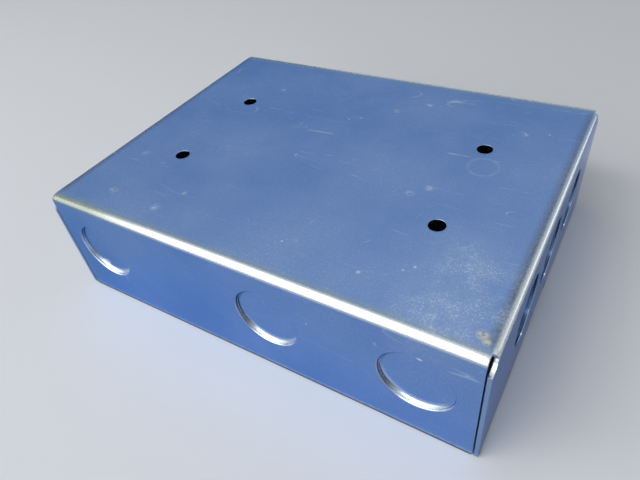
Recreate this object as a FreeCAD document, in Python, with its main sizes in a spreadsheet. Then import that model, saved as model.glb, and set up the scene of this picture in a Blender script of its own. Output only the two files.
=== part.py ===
import FreeCAD, Part
import os
import math
import Sketcher
from FreeCAD import Placement, Rotation, Vector

# Flush back box folded from one sheet, lying open side down.
# The origin is the middle of the rim it lies on: +X along its length, +Y along its width, +Z up to its back.

doc = FreeCAD.newDocument("flush_back_box")
sheet = doc.addObject("Spreadsheet::Sheet", "Sizes")

# Driving dimensions in millimetres, each with what it measures
driving = [
    ("box_length", 150.0, "outside the short walls"),
    ("box_width", 115.0, "outside the long walls"),
    ("box_depth", 41.5, "from the rim to the outside of the back"),
    ("sheet_thickness", 1.2, "zinc-plated steel sheet"),
    ("bend_radius", 0.8, "inside every bend"),
    ("seam_gap", 0.4, "from a long wall's end to the short wall beside it"),
    ("rim_corner_radius", 0.8, "free corners of the walls at the rim"),
    ("relief_width", 5.2, "notch with a round end, where two bends meet"),
    ("relief_past_bend", 1.1, "from the line where the long wall's bend starts out to the round end's centre"),
    ("relief_break", 0.4, "by which the notch would pass above the back"),
    ("back_hole_diameter", 5.0, "screw holes in the back"),
    ("back_hole_pitch_long", 94.5, "between screw holes, along the length"),
    ("back_hole_pitch_wide", 40.5, "between screw holes, along the width"),
    ("knockout_diameter", 21.0, "for 20 mm conduit"),
    ("knockout_height", 22.7, "from the rim to the knockouts' centres"),
    ("knockout_web", 0.2, "sheet left unsheared round a knockout"),
    ("knockout_roll", 0.35, "edge drawn down by the punch round a knockout"),
    ("long_knockout_end_inset", 18.0, "from a short wall's outer face to the end knockouts"),
    ("long_knockout_pitch", 46.0, "from the right-hand knockout to the middle one"),
    ("short_knockout_pitch", 26.0, "between knockouts on a short wall"),
    ("short_knockout_shift", 3.0, "from the middle of the short wall back to its middle knockout"),
    ("lug_width", 14.0, "fixing lug, folded in from the rim of a short wall"),
    ("lug_reach", 12.5, "from the short wall's outer face to the lug's tip"),
    ("lug_set_back", 0.5, "from the rim up to the lug's face"),
    ("lug_corner_radius", 2.5, "corners of the lug's tip"),
    ("lug_slit_width", 1.6, "slit each side of the lug that lets it fold"),
    ("lug_slit_rise", 1.5, "from the lug's bend up to the middle of the slit's round end"),
    ("lug_hole_inset", 6.7, "from the short wall's outer face to the tapped hole"),
    ("lug_hole_diameter", 2.9, "tapping size for a 3.5 mm cover screw"),
    ("lug_hole_roll", 0.35, "edge drawn in where the punch enters the lug"),
    ("lug_collar_diameter", 4.8, "collar raised round the hole when it is punched"),
    ("lug_collar_height", 1.0, "of the collar above the lug"),
]
for row, (alias, value, note) in enumerate(driving, start=1):
    sheet.set(f"A{row}", note)
    sheet.set(f"B{row}", str(value))
    sheet.setAlias(f"B{row}", alias)
doc.recompute()

# Lengths that follow from the driving ones
half_length = "Sizes.box_length / 2"
half_width = "Sizes.box_width / 2"
outer_bend = "(Sizes.bend_radius + Sizes.sheet_thickness)"
flat_half_length = f"({half_length} - {outer_bend})"
flat_half_width = f"({half_width} - {outer_bend})"
long_wall_end = f"({half_length} - Sizes.sheet_thickness - Sizes.seam_gap)"
push = "(Sizes.sheet_thickness - Sizes.knockout_web)"
# A cutting outline runs past the sheet that it cuts by this much
past = "Sizes.sheet_thickness"

body = doc.addObject("PartDesign::Body", "BackBox")
body.Label = "back_box"


def size_of(expression):
    value = body.evalExpression(expression)
    return float(getattr(value, "Value", value))


def near(first, second):
    return abs(first - second) < 1e-4


# Sketches

def new_sketch(name, role, offset=None):
    # On one of the body's own planes, moved along that plane's normal
    plane = next(feature for feature in body.Origin.OriginFeatures if feature.Role == role)
    sketch = body.newObject("Sketcher::SketchObject", name)
    sketch.AttachmentSupport = [(plane, "")]
    sketch.MapMode = "FlatFace"
    if offset:
        sketch.AttachmentOffset = Placement(Vector(0, 0, size_of(offset)), Rotation())
        sketch.setExpression("AttachmentOffset.Base.z", offset)
    return sketch


def relate(sketch, kind, *references):
    sketch.addConstraint(Sketcher.Constraint(kind, *references))


def dimension(sketch, name, kind, references, expression):
    index = sketch.addConstraint(Sketcher.Constraint(kind, *references, size_of(expression)))
    sketch.renameConstraint(index, name)
    sketch.setExpression(f"Constraints.{name}", expression)


def add_line(sketch, start, end):
    return sketch.addGeometry(Part.LineSegment(start, end), False)


def add_circle(sketch, name, across, up, diameter):
    # Placed from the sketch's origin, or on its level axis where up is None
    centre = Vector(size_of(across), size_of(up) if up else 0, 0)
    circle = sketch.addGeometry(Part.Circle(centre, Vector(0, 0, 1), size_of(diameter) / 2), False)
    dimension(sketch, f"{name}_across", "DistanceX", (-1, 1, circle, 3), across)
    dimension(sketch, f"{name}_diameter", "Diameter", (circle,), diameter)
    if up:
        dimension(sketch, f"{name}_up", "DistanceY", (-1, 1, circle, 3), up)
    else:
        relate(sketch, "PointOnObject", circle, 3, -1)


def add_rectangle(sketch, name, left, bottom, right, top):
    x0, y0, x1, y1 = (size_of(edge) for edge in (left, bottom, right, top))
    corners = [Vector(x0, y0, 0), Vector(x1, y0, 0), Vector(x1, y1, 0), Vector(x0, y1, 0)]
    sides = [add_line(sketch, start, end) for start, end in zip(corners, corners[1:] + corners[:1])]
    for side, after in zip(sides, sides[1:] + sides[:1]):
        relate(sketch, "Coincident", side, 2, after, 1)
    for side, direction in zip(sides, ("Horizontal", "Vertical") * 2):
        relate(sketch, direction, side)
    dimension(sketch, f"{name}_left", "DistanceX", (-1, 1, sides[0], 1), left)
    dimension(sketch, f"{name}_bottom", "DistanceY", (-1, 1, sides[0], 1), bottom)
    dimension(sketch, f"{name}_right", "DistanceX", (-1, 1, sides[2], 1), right)
    dimension(sketch, f"{name}_top", "DistanceY", (-1, 1, sides[2], 1), top)


def add_slot(sketch, name, way, across, up, width, mouth):
    # A slot with one round end, which opens the other way out to the mouth
    level = way.x != 0
    centre = Vector(size_of(across), size_of(up), 0)
    radius = size_of(width) / 2
    side = Vector(-way.y, way.x, 0) * radius
    start_angle = math.atan2(side.y, side.x)
    run = way * abs(size_of(mouth) - (centre.x if level else centre.y))
    circle = Part.Circle(centre, Vector(0, 0, 1), radius)
    end = sketch.addGeometry(Part.ArcOfCircle(circle, start_angle, start_angle + math.pi), False)
    first = add_line(sketch, centre + side, centre + side + run)
    opening = add_line(sketch, centre + side + run, centre - side + run)
    last = add_line(sketch, centre - side + run, centre - side)
    relate(sketch, "Tangent", end, 1, first, 1)
    relate(sketch, "Coincident", first, 2, opening, 1)
    relate(sketch, "Coincident", opening, 2, last, 1)
    relate(sketch, "Tangent", last, 2, end, 2)
    for line in (first, last):
        relate(sketch, "Horizontal" if level else "Vertical", line)
    relate(sketch, "Vertical" if level else "Horizontal", opening)
    dimension(sketch, f"{name}_across", "DistanceX", (-1, 1, end, 3), across)
    dimension(sketch, f"{name}_up", "DistanceY", (-1, 1, end, 3), up)
    dimension(sketch, f"{name}_width", "Diameter", (end,), width)
    dimension(sketch, f"{name}_mouth", "DistanceX" if level else "DistanceY", (-1, 1, opening, 1), mouth)


def add_fold(sketch, plate, flange, plate_face, flange_face, tip):
    # Section of a bend and of the flange beyond it, both one sheet thick. The plate that it grows from runs
    # along the first direction and the flange along the second, a quarter turn clockwise from it.
    # The outer faces are given where they cross the sketch's axes, and so is the flange's tip.
    level_plate = plate.x != 0
    thick = size_of("Sizes.sheet_thickness")
    inside = size_of("Sizes.bend_radius")
    outside = inside + thick
    across_plate = Vector(abs(flange.x), abs(flange.y), 0)
    across_flange = Vector(abs(plate.x), abs(plate.y), 0)
    apex = across_plate * size_of(plate_face) + across_flange * size_of(flange_face)
    end = across_plate * size_of(tip) + across_flange * size_of(flange_face)
    centre = apex + (flange - plate) * outside
    start_angle = math.atan2(plate.y, plate.x)
    seam = add_line(sketch, centre - flange * inside, centre - flange * outside)
    outer = add_line(sketch, centre + plate * outside, end)
    edge = add_line(sketch, end, end - plate * thick)
    inner = add_line(sketch, end - plate * thick, centre + plate * inside)
    arcs = []
    for radius in (outside, inside):
        circle = Part.Circle(centre, Vector(0, 0, 1), radius)
        arc = Part.ArcOfCircle(circle, start_angle, start_angle + math.pi / 2)
        arcs.append(sketch.addGeometry(arc, False))
    outer_arc, inner_arc = arcs
    relate(sketch, "Coincident", seam, 2, outer_arc, 2)
    relate(sketch, "Coincident", seam, 1, inner_arc, 2)
    relate(sketch, "Tangent", outer_arc, 1, outer, 1)
    relate(sketch, "Coincident", outer, 2, edge, 1)
    relate(sketch, "Coincident", edge, 2, inner, 1)
    relate(sketch, "Tangent", inner, 2, inner_arc, 1)
    relate(sketch, "Coincident", outer_arc, 3, inner_arc, 3)
    relate(sketch, "PointOnObject", outer_arc, 3, seam)
    for line in (seam, outer, inner):
        relate(sketch, "Vertical" if level_plate else "Horizontal", line)
    relate(sketch, "Horizontal" if level_plate else "Vertical", edge)
    up, over = ("DistanceY", "DistanceX") if level_plate else ("DistanceX", "DistanceY")
    dimension(sketch, "plate_face", up, (-1, 1, seam, 2), plate_face)
    dimension(sketch, "flange_face", over, (-1, 1, outer, 2), flange_face)
    dimension(sketch, "flange_tip", up, (-1, 1, outer, 2), tip)
    dimension(sketch, "inside_bend", "Radius", (inner_arc,), "Sizes.bend_radius")
    dimension(sketch, "thickness", "Distance", (edge,), "Sizes.sheet_thickness")


# Features

def extrude(kind, name, sketch, length, side="One side", reversed_way=False):
    feature = body.newObject(f"PartDesign::{kind}", name)
    feature.Profile = sketch
    feature.SideType = side
    feature.Reversed = reversed_way
    feature.Length = size_of(length)
    feature.setExpression("Length", length)
    doc.recompute()
    return feature


def mirror(name, originals, role):
    feature = body.newObject("PartDesign::Mirrored", name)
    plane = next(origin for origin in body.Origin.OriginFeatures if origin.Role == role)
    feature.Originals = originals
    feature.MirrorPlane = (plane, [""])
    body.Tip = feature
    doc.recompute()


def ease_edges(kind, name, wanted, size):
    # Fillets or chamfers every edge of the body so far that the test picks
    base = body.Tip
    picked = [f"Edge{i}" for i, edge in enumerate(base.Shape.Edges, start=1) if wanted(edge)]
    feature = body.newObject(f"PartDesign::{kind}", name)
    feature.Base = (base, picked)
    measure = {"Fillet": "Radius", "Chamfer": "Size"}[kind]
    setattr(feature, measure, size_of(size))
    feature.setExpression(measure, size)
    doc.recompute()


def add_knockouts(wall, role, outer_face, normal_points_out, places):
    # The punch drives each disc in through all of the sheet but a thin web, which holds it
    inward = "-" if normal_points_out else "+"
    recess_outline = new_sketch(f"{wall}KnockoutRecessOutline", role, outer_face)
    disc_outline = new_sketch(f"{wall}KnockoutDiscOutline", role, f"{outer_face} {inward} {push}")
    for name, across in places.items():
        for sketch in (recess_outline, disc_outline):
            add_circle(sketch, name, across, "Sizes.knockout_height", "Sizes.knockout_diameter")
    recess = extrude("Pocket", f"{wall}KnockoutRecess", recess_outline, push,
                     reversed_way=not normal_points_out)
    disc = extrude("Pad", f"{wall}KnockoutDisc", disc_outline, "Sizes.sheet_thickness",
                   reversed_way=normal_points_out)
    return [recess, disc]


right, down, left = Vector(1, 0, 0), Vector(0, -1, 0), Vector(-1, 0, 0)
# The wall's two ends as its sketches see them: name, sign and the way out
ends = (("front", "-", left), ("rear", "", right))

# Back panel, flat as far as the bends
panel_outline = new_sketch("BackPanelOutline", "XY_Plane", "Sizes.box_depth")
add_rectangle(panel_outline, "panel", f"-{flat_half_length}", f"-{flat_half_width}",
              flat_half_length, flat_half_width)
extrude("Pad", "BackPanel", panel_outline, "Sizes.sheet_thickness", reversed_way=True)

# Short wall at +X, as wide as the box, so that its cut edges show at the front and rear
short_section = new_sketch("ShortWallSection", "XZ_Plane")
add_fold(short_section, right, down, "Sizes.box_depth", half_length, "0 mm")
short_wall = [extrude("Pad", "ShortWall", short_section, "Sizes.box_width", side="Symmetric")]

# Outlines cut through this wall start where its bend does
wall_cut = f"{outer_bend} + {past}"


def cut_short_wall(name, outline):
    return extrude("Pocket", name, outline, wall_cut, reversed_way=True)


# Notches where its bend meets the long walls' bends
reliefs = new_sketch("ReliefOutline", "YZ_Plane", flat_half_length)
relief_level = f"Sizes.box_depth + Sizes.relief_break - Sizes.relief_width / 2"
for name, sign, way in ends:
    add_slot(reliefs, name, way, f"{sign}({flat_half_width} + Sizes.relief_past_bend)", relief_level,
             "Sizes.relief_width", f"{sign}({half_width} + {past})")
short_wall += [cut_short_wall("Reliefs", reliefs)]

# Its row of knockouts
short_wall += add_knockouts("Short", "YZ_Plane", half_length, True, {
    "near": "Sizes.short_knockout_shift - Sizes.short_knockout_pitch",
    "middle": "Sizes.short_knockout_shift",
    "far": "Sizes.short_knockout_shift + Sizes.short_knockout_pitch",
})

# Slits with round ends beside the fixing lug, and the stretch of rim that folds in with it
lug_fold = f"Sizes.lug_set_back + {outer_bend}"
slit_middle = "(Sizes.lug_width + Sizes.lug_slit_width) / 2"
slits = new_sketch("LugSlitOutline", "YZ_Plane", flat_half_length)
for name, sign, way in ends:
    add_slot(slits, name, down, f"{sign}{slit_middle}", f"{lug_fold} + Sizes.lug_slit_rise",
             "Sizes.lug_slit_width", f"-{past}")
lug_rim = new_sketch("LugRimOutline", "YZ_Plane", flat_half_length)
add_rectangle(lug_rim, "rim", f"-{slit_middle}", f"-{past}", slit_middle, lug_fold)
short_wall += [cut_short_wall("LugSlits", slits), cut_short_wall("LugRim", lug_rim)]

# The lug, set back from the rim, with a collar punched up round its tapped hole
lug_section = new_sketch("LugSection", "XZ_Plane")
add_fold(lug_section, down, left, half_length, "Sizes.lug_set_back", f"{half_length} - Sizes.lug_reach")
short_wall += [extrude("Pad", "Lug", lug_section, "Sizes.lug_width", side="Symmetric")]
hole_place = f"{half_length} - Sizes.lug_hole_inset"
collar_outline = new_sketch("LugCollarOutline", "XY_Plane", "Sizes.lug_set_back + Sizes.sheet_thickness")
add_circle(collar_outline, "collar", hole_place, None, "Sizes.lug_collar_diameter")
short_wall += [extrude("Pad", "LugCollar", collar_outline, "Sizes.lug_collar_height")]
hole_outline = new_sketch("LugHoleOutline", "XY_Plane")
add_circle(hole_outline, "hole", hole_place, None, "Sizes.lug_hole_diameter")
hole_depth = f"Sizes.lug_set_back + Sizes.sheet_thickness + Sizes.lug_collar_height + {past}"
short_wall += [extrude("Pocket", "LugHole", hole_outline, hole_depth, reversed_way=True)]

mirror("ShortWalls", short_wall, "YZ_Plane")

# Long wall at +Y, which stops short of the short walls by the seam gap, and its knockouts
long_section = new_sketch("LongWallSection", "YZ_Plane")
add_fold(long_section, right, down, "Sizes.box_depth", half_width, "0 mm")
long_wall = [extrude("Pad", "LongWall", long_section, f"2 * {long_wall_end}", side="Symmetric")]
end_knockout = f"({half_length} - Sizes.long_knockout_end_inset)"
long_wall += add_knockouts("Long", "XZ_Plane", f"-{half_width}", False, {
    "left": f"-{end_knockout}",
    "middle": f"{end_knockout} - Sizes.long_knockout_pitch",
    "right": end_knockout,
})
mirror("LongWalls", long_wall, "XZ_Plane")

# Screw holes through the back
back_holes = new_sketch("BackHoleOutline", "XY_Plane", "Sizes.box_depth")
for along in ("-", ""):
    for over in ("-", ""):
        name = ("left" if along else "right") + ("_front" if over else "_rear")
        add_circle(back_holes, name, f"{along}Sizes.back_hole_pitch_long / 2",
                   f"{over}Sizes.back_hole_pitch_wide / 2", "Sizes.back_hole_diameter")
extrude("Pocket", "BackHoles", back_holes, f"Sizes.sheet_thickness + {past}")

# Eased edges: where a punch entered the sheet, where its disc came out, and the blank's free corners
wall_faces = (size_of(half_length), size_of(half_width))
disc_faces = [face - size_of(push) - size_of("Sizes.sheet_thickness") for face in wall_faces]


def is_circle(edge, diameter):
    return isinstance(edge.Curve, Part.Circle) and near(edge.Curve.Radius, size_of(diameter) / 2)


def is_knockout_roll(edge):
    if not is_circle(edge, "Sizes.knockout_diameter"):
        return False
    centre = edge.Curve.Center
    places = zip((centre.x, centre.y), wall_faces, disc_faces)
    return any(near(abs(place), wall) or near(abs(place), disc) for place, wall, disc in places)


def is_lug_hole_entry(edge):
    return is_circle(edge, "Sizes.lug_hole_diameter") and near(edge.Curve.Center.z, size_of("Sizes.lug_set_back"))


def is_straight(edge, direction):
    return isinstance(edge.Curve, Part.Line) and near(abs(edge.Curve.Direction.dot(direction)), 1)


def is_lug_corner(edge):
    middle = edge.CenterOfMass
    return is_straight(edge, Vector(0, 0, 1)) and near(abs(middle.x), size_of(f"{half_length} - Sizes.lug_reach"))


def is_rim_corner(edge):
    middle = edge.CenterOfMass
    short = is_straight(edge, Vector(1, 0, 0)) and near(abs(middle.y), size_of(half_width))
    long = is_straight(edge, Vector(0, 1, 0)) and near(abs(middle.x), size_of(long_wall_end))
    return near(middle.z, 0) and (short or long)


ease_edges("Chamfer", "KnockoutRoll", is_knockout_roll, f"min(Sizes.knockout_roll; {push} / 2)")
ease_edges("Chamfer", "LugHoleRoll", is_lug_hole_entry, "Sizes.lug_hole_roll")
ease_edges("Fillet", "LugCorners", is_lug_corner, "Sizes.lug_corner_radius")
ease_edges("Fillet", "RimCorners", is_rim_corner, "Sizes.rim_corner_radius")

# Every object is sound, every cut takes metal away, and the box is one closed piece
for obj in doc.Objects:
    if "Invalid" in obj.State or "Error" in obj.State:
        raise RuntimeError(f"{obj.Name} failed: {obj.State}")
for feature in body.Group:
    if feature.TypeId == "PartDesign::Pocket":
        if not feature.Shape.Volume < feature.BaseFeature.Shape.Volume:
            raise RuntimeError(f"{feature.Name} cuts nothing")
shape = body.Shape
if shape.isNull() or not shape.isValid() or len(shape.Solids) != 1:
    raise RuntimeError("the box isn't one valid solid")

os.makedirs("parts", exist_ok=True)
shape.exportStep(f"parts/{body.Label}.step")
bounds = shape.BoundBox
print(f"{body.Label}: {bounds.XLength:.2f} x {bounds.YLength:.2f} x {bounds.ZLength:.2f} mm,",
      f"{len(shape.Faces)} faces, {shape.Volume:.1f} mm3")
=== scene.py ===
import math

import bpy
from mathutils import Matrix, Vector
from mathutils.geometry import delaunay_2d_cdt
from mathutils.kdtree import KDTree


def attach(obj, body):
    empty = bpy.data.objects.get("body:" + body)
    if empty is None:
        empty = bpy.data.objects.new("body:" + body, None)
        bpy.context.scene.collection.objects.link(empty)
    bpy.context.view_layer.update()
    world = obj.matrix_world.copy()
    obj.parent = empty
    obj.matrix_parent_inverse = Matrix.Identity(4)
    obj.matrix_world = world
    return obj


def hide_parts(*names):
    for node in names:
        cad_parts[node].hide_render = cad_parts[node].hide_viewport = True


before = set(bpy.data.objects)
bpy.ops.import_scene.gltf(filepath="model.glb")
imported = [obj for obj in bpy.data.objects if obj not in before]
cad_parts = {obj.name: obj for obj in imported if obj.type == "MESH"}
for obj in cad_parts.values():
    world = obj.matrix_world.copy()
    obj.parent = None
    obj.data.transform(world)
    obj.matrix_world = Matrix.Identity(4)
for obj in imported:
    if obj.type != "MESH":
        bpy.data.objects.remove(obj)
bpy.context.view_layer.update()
scene = bpy.context.scene
mm = 0.001
print("Frame loaded:", ", ".join(sorted(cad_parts)))


# Node helpers, for geometry and for materials alike

def feed(tree, socket, value):
    if isinstance(value, bpy.types.NodeSocket):
        tree.links.new(value, socket)
    elif value is not None:
        socket.default_value = value


def addNode(tree, kind, inputs=None, **settings):
    node = tree.nodes.new(kind)
    for name, value in settings.items():
        setattr(node, name, value)
    for name, value in (inputs or {}).items():
        feed(tree, node.inputs[name], value)
    return node


def calc(tree, operation, *values, clamp=False):
    node = tree.nodes.new("ShaderNodeMath")
    node.operation = operation
    node.use_clamp = clamp
    for socket, value in zip(node.inputs, values):
        feed(tree, socket, value)
    return node.outputs[0]


def times(tree, *values):
    result = values[0]
    for value in values[1:]:
        result = calc(tree, "MULTIPLY", result, value)
    return result


def split(tree, place):
    return addNode(tree, "ShaderNodeSeparateXYZ", {"Vector": place}).outputs


def combine(tree, x, y, z=None):
    return addNode(tree, "ShaderNodeCombineXYZ", {"X": x, "Y": y, "Z": z}).outputs[0]


# The box is one sheet. It is laid out flat first, as the press punches it, in millimetres:
# u runs along the length, v along the width, and the third value is the level in the sheet,
# plus on the outer face and minus on the inner one.
blank = {
    "halfLength": 75.0,
    "halfWidth": 57.5,
    "depth": 41.5,
    "sheet": 1.2,
    "insideBend": 0.8,
    "longWallEnd": 73.4,       # half the long walls' length, short of the short walls by the seam
    "rimCorner": 0.8,
    "notchPlace": (56.6, 39.3),  # place along the short wall, and height
    "notchRadius": 2.6,
    "notchEase": 0.5,
    "lugHalfWidth": 7.0,
    "lugTip": 62.5,            # from the box's middle, like the lug's hole
    "lugSetBack": 0.5,
    "lugCorner": 2.5,
    "slitRadius": 0.8,
    "slitEnd": 4.0,            # height of the slit's round end
    "lugHole": 68.3,
    "threadRadius": 1.75,
    "threadPitch": 0.6,
    "threadRidge": 0.46,       # radius of the ridge, as a share of the pitch
    "threadEnds": 0.25,        # the thread stops so far short of both ends of its hole
    "threadShear": 0.8,
    "collarRadius": 2.4,
    "collarHeight": 1.0,
    "backHoles": (47.25, 20.25),
    "backHoleRadius": 2.5,
    "knockoutRadius": 10.5,
    "knockoutHeight": 22.7,
    "knockoutPush": 1.0,
    "knockoutRoll": 0.42,      # width of the rounded lip round each recess
    "longKnockouts": (-57.0, 11.0, 57.0),
    "shortKnockouts": (-23.0, 3.0, 29.0),
    "punchedRoll": 0.16,       # rounding that the punch leaves on its own side of a cut
    "cutBreak": 0.07,          # and on the far side
    "rollTurns": ((35, 0.0), (65, 0.25), (90, 0.6)),  # round that edge, with the shear there
    "ripple": 0.05,            # how far the sheet is from flat
    "rippleScale": 26.0,
    "sharpAngle": 62.0,        # in degrees; edges past it keep a crease
    # How fine the mesh is: widest spacing, lines beside bends and edges, steps in each curve
    "flatStep": 2.4,
    "lineMargin": 0.5,
    "lineGap": 0.3,            # the lines' crossings keep this far from every loop
    "collarMargin": 0.2,
    "rimMargin": 0.75,
    "discMargin": 0.3,
    "notchStep": 0.25,
    "bendSteps": 9,
    "circleSteps": 88,
    "slitSteps": 14,
    "lugCornerSteps": 8,
    "rimCornerSteps": 5,
    "notchEaseSteps": 4,
    "threadSteps": 28,
}

halfSheet = blank["sheet"] / 2
outerBend = blank["insideBend"] + blank["sheet"]
midBend = blank["insideBend"] + halfSheet
bendRun = midBend * math.pi / 2
foldU = blank["halfLength"] - outerBend
foldV = blank["halfWidth"] - outerBend
wallRun = blank["depth"] - outerBend
rimU = foldU + bendRun + wallRun
rimV = foldV + bendRun + wallRun
lugFold = wallRun - blank["lugSetBack"] - outerBend   # run of short wall above the lug's bend
lugBendU = foldU + bendRun + lugFold
lugFlatU = lugBendU + bendRun
lugTipU = lugFlatU + foldU - blank["lugTip"]
lineMargin = blank["lineMargin"]


def wallPlace(fold, height):
    return fold + bendRun + wallRun - height


def steps(start, end, step):
    count = max(1, round(abs(end - start) / step))
    return [start + (end - start) * i / count for i in range(count + 1)]


def bendLines(start):
    inside = [start + bendRun * i / blank["bendSteps"] for i in range(blank["bendSteps"] + 1)]
    return [start - lineMargin] + inside + [start + bendRun + lineMargin]


def lattice(marks):
    # Lines across the blank on both sides of its middle, closer together in the bends
    lines = sorted(set(round(x, 5) for x in marks))
    full = [lines[0]]
    for x in lines[1:]:
        full += steps(full[-1], x, blank["flatStep"])[1:]
    return sorted(set([-x for x in full] + full))


linesU = lattice([0, lugTipU - lineMargin] + bendLines(foldU) + bendLines(lugBendU))
linesV = lattice([0, blank["lugHalfWidth"] - lineMargin, rimV - lineMargin] + bendLines(foldV))


def arc(centre, radius, start, end, count):
    turns = [math.radians(start + (end - start) * i / count) for i in range(count + 1)]
    return [(centre[0] + radius * math.cos(a), centre[1] + radius * math.sin(a)) for a in turns]


def notchEdge():
    # Where the round notch crosses the short wall and its bend, from the wall up to the long wall's end
    place, height = blank["notchPlace"]
    low = bendRun + wallRun - height + blank["notchRadius"]
    high = blank["longWallEnd"] - foldU + blank["notchEase"]
    points = []
    for run in steps(low, high, blank["notchStep"]):
        turn = min(run, bendRun) / midBend
        level = wallRun + midBend * math.cos(turn) - max(run - bendRun, 0)
        reach = max(blank["notchRadius"] ** 2 - (level - height) ** 2, 0) ** 0.5
        points.append((foldU + run, place - reach))
    return points


def quarterOutline():
    lugSide, slit, corner = blank["lugHalfWidth"], blank["slitRadius"], blank["rimCorner"]
    tipRound, cornerSteps = blank["lugCorner"], blank["rimCornerSteps"]
    slitU = wallPlace(foldU, blank["slitEnd"])
    end = blank["longWallEnd"]
    points = [(lugTipU, 0)]
    points += arc((lugTipU - tipRound, lugSide - tipRound), tipRound, 0, 90, blank["lugCornerSteps"])
    points += arc((slitU, lugSide + slit), slit, -90, -270, blank["slitSteps"])
    points += [(rimU, lugSide + 2 * slit)]
    points += arc((rimU - corner, blank["halfWidth"] - corner), corner, 0, 90, cornerSteps)
    notch = notchEdge()
    points += [(notch[0][0], blank["halfWidth"])] + notch
    ease = blank["notchEase"]
    points += arc((end + ease, notch[-1][1] + ease), ease, -110, -180, blank["notchEaseSteps"])
    points += arc((end - corner, rimV - corner), corner, 0, 90, cornerSteps)
    return points + [(0, rimV)]


def cross(points):
    # Straight runs of the outline get a point on each line of the lattice that they cross
    gap = 0.2
    full = []
    for (u0, v0), (u1, v1) in zip(points, points[1:] + points[:1]):
        full.append((u0, v0))
        if abs(v1 - v0) < 1e-6:
            inner = [(u, v0) for u in linesU if min(u0, u1) + gap < u < max(u0, u1) - gap]
            full += inner if u1 > u0 else inner[::-1]
        elif abs(u1 - u0) < 1e-6:
            inner = [(u0, v) for v in linesV if min(v0, v1) + gap < v < max(v0, v1) - gap]
            full += inner if v1 > v0 else inner[::-1]
    return full


def wholeOutline():
    quarter = quarterOutline()
    left = [(-u, v) for u, v in quarter[::-1]]
    top = quarter + left[1:]
    below = [(-u, -v) for u, v in top]
    return cross(top + below[1:-1])


def inset(points, distance):
    # The material is on the left of the outline's way round
    moved = []
    count = len(points)
    for i, (u, v) in enumerate(points):
        before = Vector(points[i]) - Vector(points[i - 1])
        after = Vector(points[(i + 1) % count]) - Vector(points[i])
        first = Vector((-before.y, before.x)).normalized()
        second = Vector((-after.y, after.x)).normalized()
        shift = (first + second) * (distance / (1 + first.dot(second)))
        moved.append((u + shift.x, v + shift.y))
    return moved


def ring(centre, radius):
    turns = [2 * math.pi * i / blank["circleSteps"] for i in range(blank["circleSteps"])]
    return [(centre[0] + radius * math.cos(a), centre[1] + radius * math.sin(a)) for a in turns]


class Sheet:
    # Collects the flat sheet's points and faces, and how sheared the metal is at each point
    def __init__(self):
        self.points, self.shear, self.faces = [], [], []

    def add(self, flat, level, shear=0.0):
        start = len(self.points)
        self.points += [(u, v, level) for u, v in flat]
        self.shear += [shear] * len(flat)
        return list(range(start, len(self.points)))

    def skin(self, triangles, spots, level, flip, used):
        # Flat metal at one level; used keeps which point stands for each spot
        for triangle in triangles:
            corners = []
            for i in triangle:
                if i not in used:
                    used[i] = self.add([tuple(spots[i])], level)[0]
                corners.append(used[i])
            self.faces.append(tuple(corners[::-1] if flip else corners))

    def band(self, first, second, flip):
        count = len(first)
        for i in range(count):
            j = (i + 1) % count
            face = (first[i], first[j], second[j], second[i])
            self.faces.append(face[::-1] if flip else face)

    def profile(self, start, rings, flip, end=None):
        # Bands from a loop of points through rings of (flat loop, level, shear), to a last loop
        before = start
        for flat, level, shear in rings:
            after = self.add(flat, level, shear)
            self.band(before, after, flip)
            before = after
        if end:
            self.band(before, end, flip)
        return before


def cutRings(grown, side):
    # A cut through the sheet: rolled over on the punch's side, bare and torn in the middle.
    # grown gives the cut's loop, taken so far into the metal.
    roll = blank["punchedRoll"] if side > 0 else blank["cutBreak"]
    rings = []
    for turn, shear in blank["rollTurns"]:
        a = math.radians(turn)
        flat = grown(roll * (1 - math.sin(a)))
        rings.append((flat, side * (halfSheet - roll * (1 - math.cos(a))), shear))
    return rings


def lugHoleRings(centre, side):
    # A countersunk mouth on the outer face, a collar drawn out of the inner one
    thread, collar = blank["threadRadius"], blank["collarRadius"]
    top = halfSheet + blank["collarHeight"]
    if side > 0:
        shape = [(thread + 0.3, halfSheet, 0), (thread + 0.26, halfSheet - 0.03, 0.5),
                 (thread, halfSheet - 0.3, 1)]
    else:
        shape = [(collar + 0.06, -halfSheet - 0.05, 0), (collar, -halfSheet - 0.2, 0),
                 (collar - 0.03, -top + 0.22, 0), (collar - 0.09, -top + 0.07, 0.3),
                 (collar - 0.22, -top, 0.6), (thread + 0.2, -top, 1), (thread, -top + 0.2, 1)]
    return [(ring(centre, radius), level, shear) for radius, level, shear in shape]


def knockoutRings(centre, side):
    # Sheared through all but a web: a recess with a rounded lip outside, a boss inside
    r, push, roll = blank["knockoutRadius"], blank["knockoutPush"], blank["knockoutRoll"]
    if side > 0:
        lip = ((0.12, 0), (0.4, 0), (0.7, 0), (1.0, 0.2), (1.3, 0.6), (math.pi / 2, 1))
        shape = [(r + roll * (1 - math.sin(a)), halfSheet - roll * (1 - math.cos(a)), shear)
                 for a, shear in lip]
        shape += [(r - 0.005, halfSheet - 0.62 * push, 1), (r - 0.01, halfSheet - push + 0.1, 1),
                  (r - 0.03, halfSheet - push + 0.03, 0.6), (r - 0.12, halfSheet - push, 0)]
    else:
        shape = [(r + 0.12, -halfSheet, 0), (r + 0.03, -halfSheet - 0.03, 0.4),
                 (r, -halfSheet - 0.12, 1), (r - 0.005, -halfSheet - 0.5 * push, 1),
                 (r - 0.01, -halfSheet - push + 0.24, 0.6),
                 (r - 0.08, -halfSheet - push + 0.08, 0.1),
                 (r - 0.19, -halfSheet - push + 0.015, 0)]
    return [(ring(centre, radius), level, shear) for radius, level, shear in shape]


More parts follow.
